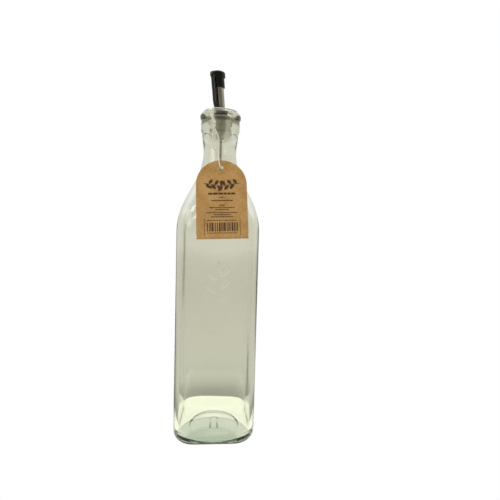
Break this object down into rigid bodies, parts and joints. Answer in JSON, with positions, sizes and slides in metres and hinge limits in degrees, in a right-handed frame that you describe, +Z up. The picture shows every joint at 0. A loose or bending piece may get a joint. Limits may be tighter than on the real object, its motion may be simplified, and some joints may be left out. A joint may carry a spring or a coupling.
{
  "type": "glass oil bottle with pourer",
  "caption": "Square clear glass kitchen bottle for oil or vinegar, with a steel pourer, a tethered black dust cap and a kraft card tag hung on cotton string.",
  "frame": {"origin": "centre of the bottle's base, on the surface it stands on", "axes": "+Z up along the bottle's axis, -Y towards the front with the tag, +X to the right seen from the front"},
  "size_m": [0.06, 0.0653, 0.275],
  "materials": {
    "glass": "clear, faint grey-green, smooth pressed and blown",
    "stopper_plastic": "natural polyethylene, milky and slightly see-through",
    "steel": "drawn stainless tube, semi-bright",
    "black_rubber": "moulded, semi-gloss",
    "kraft_card": "uncoated brown kraft with dark brown print",
    "cotton_string": "twisted natural cotton"
  },
  "bodies": {
    "bottle": {"glass_bottle": "glass", "tag_string_loop": "cotton_string", "tag_string_knot": "cotton_string"},
    "stopper": {"pourer_stopper": "stopper_plastic"},
    "spout": {"spout_tube": "steel", "air_tube": "steel", "tether_ring": "black_rubber", "tether_strap": "black_rubber"},
    "cap": {"dust_cap": "black_rubber"},
    "tag": {"swing_tag": "kraft_card", "tag_string_drop": "cotton_string"}
  },
  "joints": [
    {"name": "pourer_lift", "type": "slide", "parent": "bottle", "child": "stopper", "axis": [0, 0, 1], "range_m": [0, 0.085]},
    {"name": "spout_turn", "type": "hinge", "parent": "stopper", "child": "spout", "pos_m": [0, 0, 0.236], "axis": [0, 0, 1], "continuous": true},
    {"name": "cap_pull", "type": "slide", "parent": "spout", "child": "cap", "axis": [-0.0843, 0, 0.9964], "range_m": [0, 0.012]},
    {"name": "tag_swing", "type": "hinge", "parent": "bottle", "child": "tag", "pos_m": [-0.0043, -0.0172, 0.231], "axis": [-1, 0, 0], "range_deg": [0, 80]}
  ]
}
